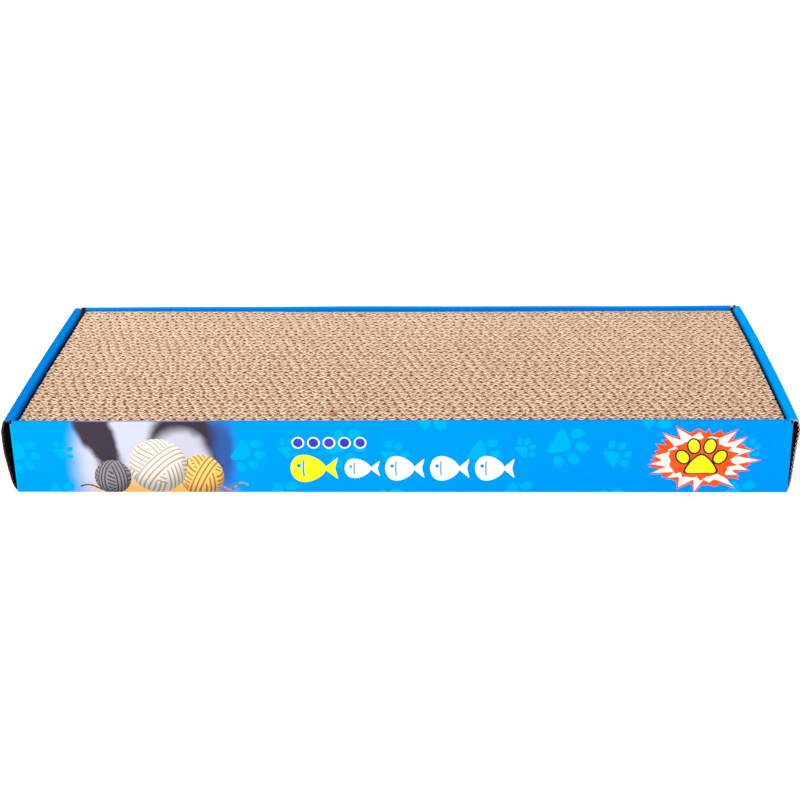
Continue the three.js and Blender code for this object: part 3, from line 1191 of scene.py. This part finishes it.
def add_hollow_end(name, side, materials, carton):
    """Hollow end wall: a printed skin, a fluted core that shows at the raw cut, and a kraft liner."""
    path = end_path(carton)
    marks = end_limits(path, carton, side)
    outline = [(low, reach) for reach, low, _ in marks] + [(high, reach) for reach, _, high in marks[::-1]]
    rim_end = HALF_LENGTH + MM
    turned = path.reach_where(lambda point: point.y > TRAY_HEIGHT - NEARLY and point.x < rim_end)
    ends, slant, middle = BOWS[side]
    belly, fade_start, fade_end = BELLIES[side]
    shade_start, shade_length = RIM_SHADES[side]

    def place(along, point):
        run, rise = along / HALF_DEPTH, point.y / TRAY_HEIGHT
        bow = (ends + slant * run + middle * (1 - run * run)) * rise
        onset = 1 - math.exp(min(0, -point.y / BELLY_FOOT))
        fade = clamp((point.y / MM - fade_start) / (fade_end - fade_start))
        bulge = belly * onset * (1 - fade * fade * (3 - 2 * fade))
        inwards = clamp((rim_end - point.x) / (rim_end - RIGHT_LINING[0].x))
        push = PUSHES[side] * inwards * rise
        return Vector((side * (point.x + (bow + bulge + push) * MM), along, point.y))

    def shade(reach):
        past = (reach - turned) / MM - shade_start
        return gap_shade(past / shade_length, past - 5)

    shell = Shell()
    paws = scattered_paws(2 * RIGHT_PANEL[1].y, 44 * MM, 9, END_SEEDS[side])
    cuts = extra_cuts(12 * MM, 8)
    add_skin(shell, path, outline, place, carton.liner, paws, cuts, ground="end", shade=shade)
    add_core(shell, path, lambda reach: between(marks, reach), place, carton, parts=CORE_PARTS)
    inner = path.points[-1].x
    foot = SheetPath([Vector((inner, BASE[1].z)), Vector((inner, CLEARANCE))], 1)
    for spot in TAB_PLACES:
        low, high = spot - HALF_TAB, spot + HALF_TAB
        tab = [(low, 0), (high, 0), (high, foot.length), (low, foot.length)]
        add_skin(shell, foot, tab, place, carton.liner, ground="end")
        add_core(shell, foot, lambda reach, low=low, high=high: (low, high), place, carton)
    return shell.build(name, materials)


def add_corner_flap(name, side_x, side_y, materials, carton):
    """Rounded upright crease of a long wall and the flap that runs on from it into the hollow end."""
    crease = HALF_LENGTH - SHEET
    steps = 6
    radius = 0.7 * MM
    centre = Vector((HALF_LENGTH - radius, -HALF_DEPTH + radius))
    points = [Vector((crease, -HALF_DEPTH))]
    for index in range(steps + 1):
        angle = math.pi / 2 * (index / steps - 1)
        points.append(centre + radius * Vector((math.cos(angle), math.sin(angle))))
    points.append(Vector((HALF_LENGTH, FLAP[1].y)))
    path = SheetPath(points, 1)
    sharp = SheetPath([points[0], Vector((HALF_LENGTH, -HALF_DEPTH)), points[-1]], 1)
    bend = path.reach[steps + 1]
    in_front = side_y < 0
    foot, head = FLAP[0].z, TRAY_HEIGHT - (MM if in_front else -0.3 * MM)
    brim = TRAY_HEIGHT - (FOLD_RADIUS if in_front else 0)
    taper = 6 * MM
    lean = 0 if in_front or side_x > 0 else 1.6

    def limits(reach):
        if reach <= bend:
            return 0, brim
        run = (reach - bend) / (path.length - bend)
        return foot + taper * run, head - taper * run

    def place(along, point):
        away = lean * clamp((point.x - crease) / SHEET) * (along / TRAY_HEIGHT) ** 2
        return Vector((side_x * (point.x + away * MM), side_y * -point.y, along))

    def shade(reach):
        return clamp((reach - bend) / (1.5 * MM))

    outline = [
        (0, 0), (brim, 0), (brim, bend), (head, bend),
        (head - taper, path.length), (foot + taper, path.length), (foot, bend), (0, bend),
    ]
    shell = Shell()
    # Painted highlight: the left flaps take the paler paw blue, a light line along their upright crease
    ground = "paw" if side_x < 0 else "ground"
    add_skin(shell, path, outline, place, carton.liner, ground=ground, cut="kraft", shade=shade)
    add_core(shell, sharp, limits, place, carton, cut="kraft")
    return shell.build(name, materials)


def add_base(name, materials):
    """Base panel with its slots: blue print underneath, kraft above."""
    side, end, notch = BASE[1].y, BASE[1].x, RIGHT_LINING[0].x - CLEARANCE
    right = [(end, -side)]
    for spot in TAB_PLACES:
        low, high = spot - HALF_SLOT, spot + HALF_SLOT
        right += [(end, low), (notch, low), (notch, high), (end, high)]
    right.append((end, side))
    outline = [(y, x + end) for x, y in right] + [(-y, end - x) for x, y in right]
    path = SheetPath([Vector((-end, 0)), Vector((end, 0))], 1)
    paws = scattered_paws(2 * side, 2 * end, 30, 5)

    def place(along, point):
        return Vector((point.x, along, point.y))

    shell = Shell()
    add_skin(shell, path, outline, place, SHEET, paws, back_shade=0.1)
    return shell.build(name, materials)


# Corrugated pads

# Inputs of the board tree that are set straight from the pads' sizes of the same names
PAD_INPUTS = (
    "Coarse pitch", "Fine pitch", "Coarse height", "Fine height", "Liner", "Medium", "Unevenness", "Bow",
    "Corner rise", "Middle reach", "Stretch",
)


class BoardTree(Nodes):
    """Geometry Nodes tree that stands corrugated boards on edge, side by side."""

    INPUTS = {
        "NodeSocketInt": ("Boards", "First board", "Last board", "Seed"),
        "NodeSocketVector": ("Corner",),
        "NodeSocketFloat": ("Length", "Height", "Board pitch", *PAD_INPUTS),
        "NodeSocketMaterial": ("Material",),
    }
    STEPS_PER_WAVE = 8
    LINER_STEPS = 120
    # Each layer's share of painted shade, which darkens its paper with depth
    HOLLOWS = (0.3, 1.0, 0.3, 0.75, 0.3)  # how much darker each layer's paper gets with depth
    DRIFT = 0.35 * MM  # how far a layer strays from its middle over a long stretch
    RIPPLE = 0.9 * MM  # and over a short one
    STAGGER = 0.6 * MM  # how unevenly the layers end

    def __init__(self):
        super().__init__(bpy.data.node_groups.new("Corrugated boards", "GeometryNodeTree"))
        interface = self.tree.interface
        interface.new_socket("Geometry", in_out="OUTPUT", socket_type="NodeSocketGeometry")
        for kind, names in self.INPUTS.items():
            for name in names:
                interface.new_socket(name, in_out="INPUT", socket_type=kind)
        inputs = self.tree.nodes.new("NodeGroupInput").outputs
        self.given = {socket.name: Wire(self.tree, socket) for socket in inputs if socket.name}
        self.build()

    def change(self, kind, geometry, settings=None, **sockets):
        """Geometry after a node that changes it."""
        named = {name.replace("_", " "): value for name, value in sockets.items()}
        return self.add(kind, settings, {"Geometry": geometry, **named})

    def store(self, geometry, name, value):
        """Keeps a number at each point, for the finish."""
        settings = {"data_type": "FLOAT", "domain": "POINT"}
        return self.change("GeometryNodeStoreNamedAttribute", geometry, settings, Name=name, Value=value)

    def field(self, name):
        return self.add("GeometryNodeInputNamedAttribute", {"data_type": "FLOAT"}, {"Name": name})

    def place(self):
        return self.split(self.add("GeometryNodeInputPosition"))

    def rows(self):
        """One point for each board, which carries the board's number."""
        given = self.given
        sockets = {"Count": given["Boards"], "Offset": self.join_xyz(0, given["Board pitch"], 0)}
        line = self.add("GeometryNodeMeshLine", sockets=sockets)
        return self.store(line, "board", self.add("GeometryNodeInputIndex") + given["First board"])

    def layer(self, rows, number, middle, thickness, pitch=None, swing=None):
        """One paper layer of every board, as a sheet along X. With a pitch it waves about its middle."""
        given = self.given
        waved = pitch is not None
        steps = round(given["Length"] / pitch * self.STEPS_PER_WAVE) if waved else self.LINER_STEPS
        line = self.add("GeometryNodeMeshLine", sockets={
            "Count": steps + 1,
            "Start Location": self.join_xyz(given["Length"] * -0.5, 0, given["Height"] * 0.5),
            "Offset": self.join_xyz(given["Length"] / steps, 0, 0),
        })
        laid = self.add("GeometryNodeInstanceOnPoints", sockets={"Points": rows, "Instance": line})
        laid = self.change("GeometryNodeRealizeInstances", laid)

        x, _, _ = self.place()
        board = self.field("board")
        draw = {"Min": 0.0, "Max": 1.0, "ID": board, "Seed": given["Seed"] + number}
        chance = self.add("FunctionNodeRandomValue", {"data_type": "FLOAT"}, draw, output=1)
        drift = self.noise(self.join_xyz(x * 9, board * 0.9 + number, given["Seed"]), 1.0, 1)
        ripple = self.noise(self.join_xyz(x * 210, board * 5 + number, given["Seed"]), 1.0, 1)
        aside = middle + (drift - 0.5) * self.DRIFT + (ripple - 0.5) * self.RIPPLE
        if waved:
            turns = x / pitch + board * 0.31 + chance * 0.4 + (drift - 0.5) * 0.9
            crush = self.noise(self.join_xyz(x * 130, board * 3 + number, given["Seed"]), 1.0, 1)
            wave = (turns * math.tau).sin()
            laid = self.store(laid, "wave", wave)
            aside = aside + wave * swing * (1.12 - crush * 0.3)
        reach = x / (given["Length"] * 0.5)
        aside = aside + given["Bow"] * (1 - reach * reach)
        last = given["Last board"]
        middle_share = board * (last - board) / (last * last) * 4
        along = given["Middle reach"] * middle_share * reach
        along = along - given["Stretch"] * (0.5 - x / given["Length"]) * (board / last)
        offset = self.join_xyz(along + (chance - 0.5) * self.STAGGER, aside, 0)
        laid = self.change("GeometryNodeSetPosition", laid, Offset=offset)

        curve = self.add("GeometryNodeMeshToCurve", sockets={"Mesh": laid})
        curve = self.add("GeometryNodeSetCurveNormal", {"mode": "Z_UP"}, {"Curve": curve})
        section = self.add("GeometryNodeCurvePrimitiveQuadrilateral", {"mode": "RECTANGLE"},
                           {"Width": thickness, "Height": given["Height"]})
        sheet = {"Curve": curve, "Profile Curve": section, "Fill Caps": True}
        mesh = self.add("GeometryNodeCurveToMesh", sockets=sheet)
        # The outermost liners of a pad have a hollow on one side only, so they get no painted shade
        within = {0: self.field("board") > 0.5, 4: self.field("board") < last - 0.5}
        return self.store(mesh, "hollow", within.get(number, 1.0) * self.HOLLOWS[number])

    def build(self):
        """Joins the five layers, makes their sawn edges uneven and puts the boards in their place."""
        given = self.given
        rows = self.rows()
        liner, medium = given["Liner"], given["Medium"]
        coarse, fine = given["Coarse height"], given["Fine height"]
        layers = [
            (liner * 0.5, liner),
            (liner + coarse * 0.5, medium, given["Coarse pitch"], (coarse - medium) * 0.5),
            (liner * 1.5 + coarse, liner),
            (liner * 2 + coarse + fine * 0.5, medium, given["Fine pitch"], (fine - medium) * 0.5),
            (liner * 2.5 + coarse + fine, liner),
        ]
        boards = self.add("GeometryNodeJoinGeometry")
        for number, layer in enumerate(layers):
            plug(self.tree, self.layer(rows, number, *layer), boards.socket.node.inputs[0])

        x, y, z = self.place()
        rise = z / given["Height"]
        boards = self.store(boards, "rise", rise)
        ragged = self.noise(self.join_xyz(x, y, given["Seed"]), 260) - 0.5
        rough = self.noise(self.join_xyz(x, y, given["Seed"] + 7), 1100, 1) - 0.5
        sign = (rise > 0.5) * 2 - 1
        uneven = (ragged + rough * 0.7) * given["Unevenness"] * sign
        left = self.step(x, -0.25, 0.0, 1.0, 0.0)
        back = self.step(y, 0.0, 0.06, 0.0, 1.0)
        lifted = given["Corner rise"] * left * back * (rise > 0.5)
        boards = self.change("GeometryNodeSetPosition", boards, Offset=self.join_xyz(0, 0, uneven + lifted))
        _, _, up = self.split(self.add("GeometryNodeInputNormal"))
        upright = abs(up) < 0.6
        boards = self.change("GeometryNodeSetShadeSmooth", boards, {"domain": "FACE"}, Shade_Smooth=upright)
        boards = self.change("GeometryNodeTransform", boards, Translation=given["Corner"])
        boards = self.change("GeometryNodeRealizeInstances", boards)
        boards = self.change("GeometryNodeSetMaterial", boards, Material=given["Material"])
        out = self.tree.nodes.new("NodeGroupOutput")
        plug(self.tree, boards, out.inputs[0])


def board_block(name, tree, values):
    """Runs the tree once with the given inputs and keeps the result as a plain mesh object."""
    seed_mesh = bpy.data.meshes.new(name + "_start")
    start = bpy.data.objects.new(name + "_start", seed_mesh)
    bpy.context.scene.collection.objects.link(start)
    modifier = start.modifiers.new("boards", "NODES")
    modifier.node_group = tree
    for item in tree.interface.items_tree:
        if item.in_out == "INPUT" and item.name in values:
            modifier[item.identifier] = values[item.name]
    evaluated = start.evaluated_get(bpy.context.evaluated_depsgraph_get())
    mesh = bpy.data.meshes.new_from_object(evaluated)
    mesh.name = name
    bpy.data.objects.remove(start)
    bpy.data.meshes.remove(seed_mesh)
    piece = bpy.data.objects.new(name, mesh)
    bpy.context.scene.collection.objects.link(piece)
    return piece


def strip_names(pad, first, last):
    return [f"{pad}_strip_{number:02d}" for number in range(first, last + 1)]


# Operators


def hand_over(piece, body, slot, *nodes):
    """Ties a finished piece to its body and to the solids that it stands for."""
    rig.replaces(piece, *nodes)
    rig.ride(piece, body)
    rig.slot(piece, slot)


class SCRATCHER_OT_long_walls(Operator):
    """Front and back walls, each a printed sheet rolled over into its inner layer"""

    bl_idname = "scratcher.long_walls"
    bl_label = "Long walls"

    def execute(self, context):
        materials = carton_materials(context)
        front = dict(materials, ground=materials["front"])
        for name, back, shapes, inks in (
            ("front", False, front_shapes(), front),
            ("back", True, scattered_paws(2 * HALF_LENGTH, 32 * MM, 20, 7), materials),
        ):
            piece = add_long_wall(f"{name}_wall", back, shapes, inks)
            nodes = (f"{name}_outer_wall", f"{name}_top_fold", f"{name}_inner_wall")
            hand_over(piece, "tray", "printed_carton", *nodes)
        return {"FINISHED"}


class SCRATCHER_OT_hollow_ends(Operator):
    """Hollow end walls with their rims and lock tabs"""

    bl_idname = "scratcher.hollow_ends"
    bl_label = "Hollow ends"

    def execute(self, context):
        materials = carton_materials(context)
        for name, side in (("left_end", -1), ("right_end", 1)):
            piece = add_hollow_end(name, side, materials, context.scene.scratcher_carton)
            nodes = (f"{name}_outer_panel", f"{name}_rim", f"{name}_inner_panel")
            hand_over(piece, "tray", "printed_carton", *nodes)
        return {"FINISHED"}


class SCRATCHER_OT_corner_flaps(Operator):
    """Rounded upright creases and the four flaps tucked into the hollow ends"""

    bl_idname = "scratcher.corner_flaps"
    bl_label = "Corner flaps"

    def execute(self, context):
        materials = carton_materials(context)
        carton = context.scene.scratcher_carton
        for wall, side_y in (("front", -1), ("back", 1)):
            for end, side_x in (("left", -1), ("right", 1)):
                piece = add_corner_flap(f"{wall}_{end}_flap", side_x, side_y, materials, carton)
                hand_over(piece, "tray", "raw_carton", f"{wall}_{end}_corner_flap")
        return {"FINISHED"}


class SCRATCHER_OT_base(Operator):
    """Base panel with the slots for the lock tabs"""

    bl_idname = "scratcher.base"
    bl_label = "Base panel"

    def execute(self, context):
        piece = add_base("tray_base", carton_materials(context))
        hand_over(piece, "tray", "raw_carton", "base_panel")
        return {"FINISHED"}


class SCRATCHER_OT_pads(Operator):
    """Both corrugated pads, each in a front, a middle and a back block of boards"""

    bl_idname = "scratcher.pads"
    bl_label = "Corrugated pads"

    def execute(self, context):
        pad = context.scene.scratcher_pads
        tree = BoardTree().tree
        for seed, body in ((3, "lower_pad"), (8, "upper_pad")):
            is_upper = body == "upper_pad"
            low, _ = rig.box(f"{body}_strip_01")
            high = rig.box(f"{body}_strip_{STRIPS:02d}")[1]
            pitch = (high.y - low.y) / (pad.boards - 0.04)
            values = {name: getattr(pad, name.lower().replace(" ", "_")) for name in PAD_INPUTS}
            values["Last board"] = pad.boards - 1
            values["Seed"] = seed
            values["Length"] = high.x - low.x
            values["Height"] = high.z - low.z
            values["Board pitch"] = pitch
            values["Material"] = board_finish(f"{body}_board", pad, is_upper)
            if not is_upper:
                values["Middle reach"] = values["Stretch"] = 0.0
            for part, first, last in (("front", 1, 6), ("middle", 7, 12), ("back", 13, STRIPS)):
                before = (first - 1) * 2
                values["Boards"] = (last - first + 1) * 2
                values["First board"] = before
                values["Corner"] = ((low.x + high.x) / 2, low.y + before * pitch, low.z)
                values["Corner rise"] = pad.corner_rise if is_upper and part == "back" else 0.0
                piece = board_block(f"{body}_{part}_boards", tree, values)
                hand_over(piece, body, "corrugated_board", *strip_names(body, first, last))
        return {"FINISHED"}


class SCRATCHER_OT_stage(Operator):
    """Pale floor, soft studio light and the camera"""

    bl_idname = "scratcher.stage"
    bl_label = "Stage"

    def execute(self, context):
        stage = context.scene.scratcher_stage
        self.add_floor(stage)
        self.add_lights(context, stage)
        self.add_camera(context, stage)
        return {"FINISHED"}

    @staticmethod
    def add_floor(stage, half=8.0):
        corners = [(-half, -half, 0), (half, -half, 0), (half, half, 0), (-half, half, 0)]
        mesh = bpy.data.meshes.new("floor")
        mesh.from_pydata(corners, [], [(0, 1, 2, 3)])
        finish = Finish("pale_floor", specular=0.1, roughness=0.7)
        finish.base(finish.shade(stage.floor, 0.985 + finish.speckle(3) * 0.03))
        mesh.materials.append(finish.material)
        floor = bpy.data.objects.new("floor", mesh)
        bpy.context.scene.collection.objects.link(floor)
        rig.stage(floor)

    @staticmethod
    def add_lights(context, stage):
        world = bpy.data.worlds.new("studio")
        world.use_nodes = True
        sky = world.node_tree.nodes["Background"]
        sky.inputs["Color"].default_value = (1, 1, 1, 1)
        sky.inputs["Strength"].default_value = stage.sky
        context.scene.world = world
        for name, place, size, power in (
            ("key", (-0.7, -3.6, 2.0), 1.6, stage.key),
            ("fill", (1.6, -2.0, 1.2), 1.8, stage.key * 0.05),
        ):
            light = bpy.data.lights.new(name, "AREA")
            light.size = size
            light.energy = power
            lamp = bpy.data.objects.new(name, light)
            lamp.location = place
            lamp.rotation_euler = (-Vector(place)).to_track_quat("-Z", "Y").to_euler()
            context.scene.collection.objects.link(lamp)

    @staticmethod
    def add_camera(context, stage):
        camera = bpy.data.cameras.new("camera")
        camera.sensor_width = 36
        camera.lens = stage.lens
        camera.clip_end = 50
        eye = bpy.data.objects.new("camera", camera)
        turn = Matrix.Rotation(stage.camera_yaw, 4, "Z")
        tilt = Matrix.Rotation(math.radians(90) - stage.camera_pitch, 4, "X")
        roll = Matrix.Rotation(stage.camera_roll, 4, "Z")
        eye.matrix_world = Matrix.Translation(stage.camera_place) @ turn @ tilt @ roll
        context.scene.collection.objects.link(eye)
        context.scene.camera = eye
        context.scene.view_settings.view_transform = "Standard"


class SCRATCHER_PT_panel(Panel):
    """Lists the pieces of the scratcher in the sidebar"""

    bl_label = "Cat scratcher"
    bl_idname = "SCRATCHER_PT_panel"
    bl_space_type = "VIEW_3D"
    bl_region_type = "UI"
    bl_category = "Scratcher"

    def draw(self, context):
        for operator in OPERATORS:
            self.layout.operator(operator.bl_idname)
        for name, group in SETTINGS.items():
            box = self.layout.box()
            for prop in group.__annotations__:
                box.prop(getattr(context.scene, name), prop)


SETTINGS = {
    "scratcher_carton": CartonSettings,
    "scratcher_pads": PadSettings,
    "scratcher_print": PrintSettings,
    "scratcher_stage": StageSettings,
}
OPERATORS = (
    SCRATCHER_OT_stage,
    SCRATCHER_OT_base,
    SCRATCHER_OT_long_walls,
    SCRATCHER_OT_hollow_ends,
    SCRATCHER_OT_corner_flaps,
    SCRATCHER_OT_pads,
)


def register():
    for group in SETTINGS.values():
        bpy.utils.register_class(group)
    for operator in OPERATORS:
        bpy.utils.register_class(operator)
    bpy.utils.register_class(SCRATCHER_PT_panel)
    for name, group in SETTINGS.items():
        setattr(bpy.types.Scene, name, PointerProperty(type=group))


def unregister():
    for name in SETTINGS:
        delattr(bpy.types.Scene, name)
    for made in (SCRATCHER_PT_panel, *reversed(OPERATORS), *SETTINGS.values()):
        bpy.utils.unregister_class(made)


def main():
    register()
    for operator in OPERATORS:
        group, name = operator.bl_idname.split(".")
        getattr(getattr(bpy.ops, group), name)()
    bpy.context.view_layer.update()
    boxes = {"cad": [list(corner) for corner in CAD_BOUNDS], "visual": [list(corner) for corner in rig.bounds()]}
    with open(SIZE_FILE, "w") as file:
        json.dump(boxes, file)


if __name__ == "__main__":
    main()
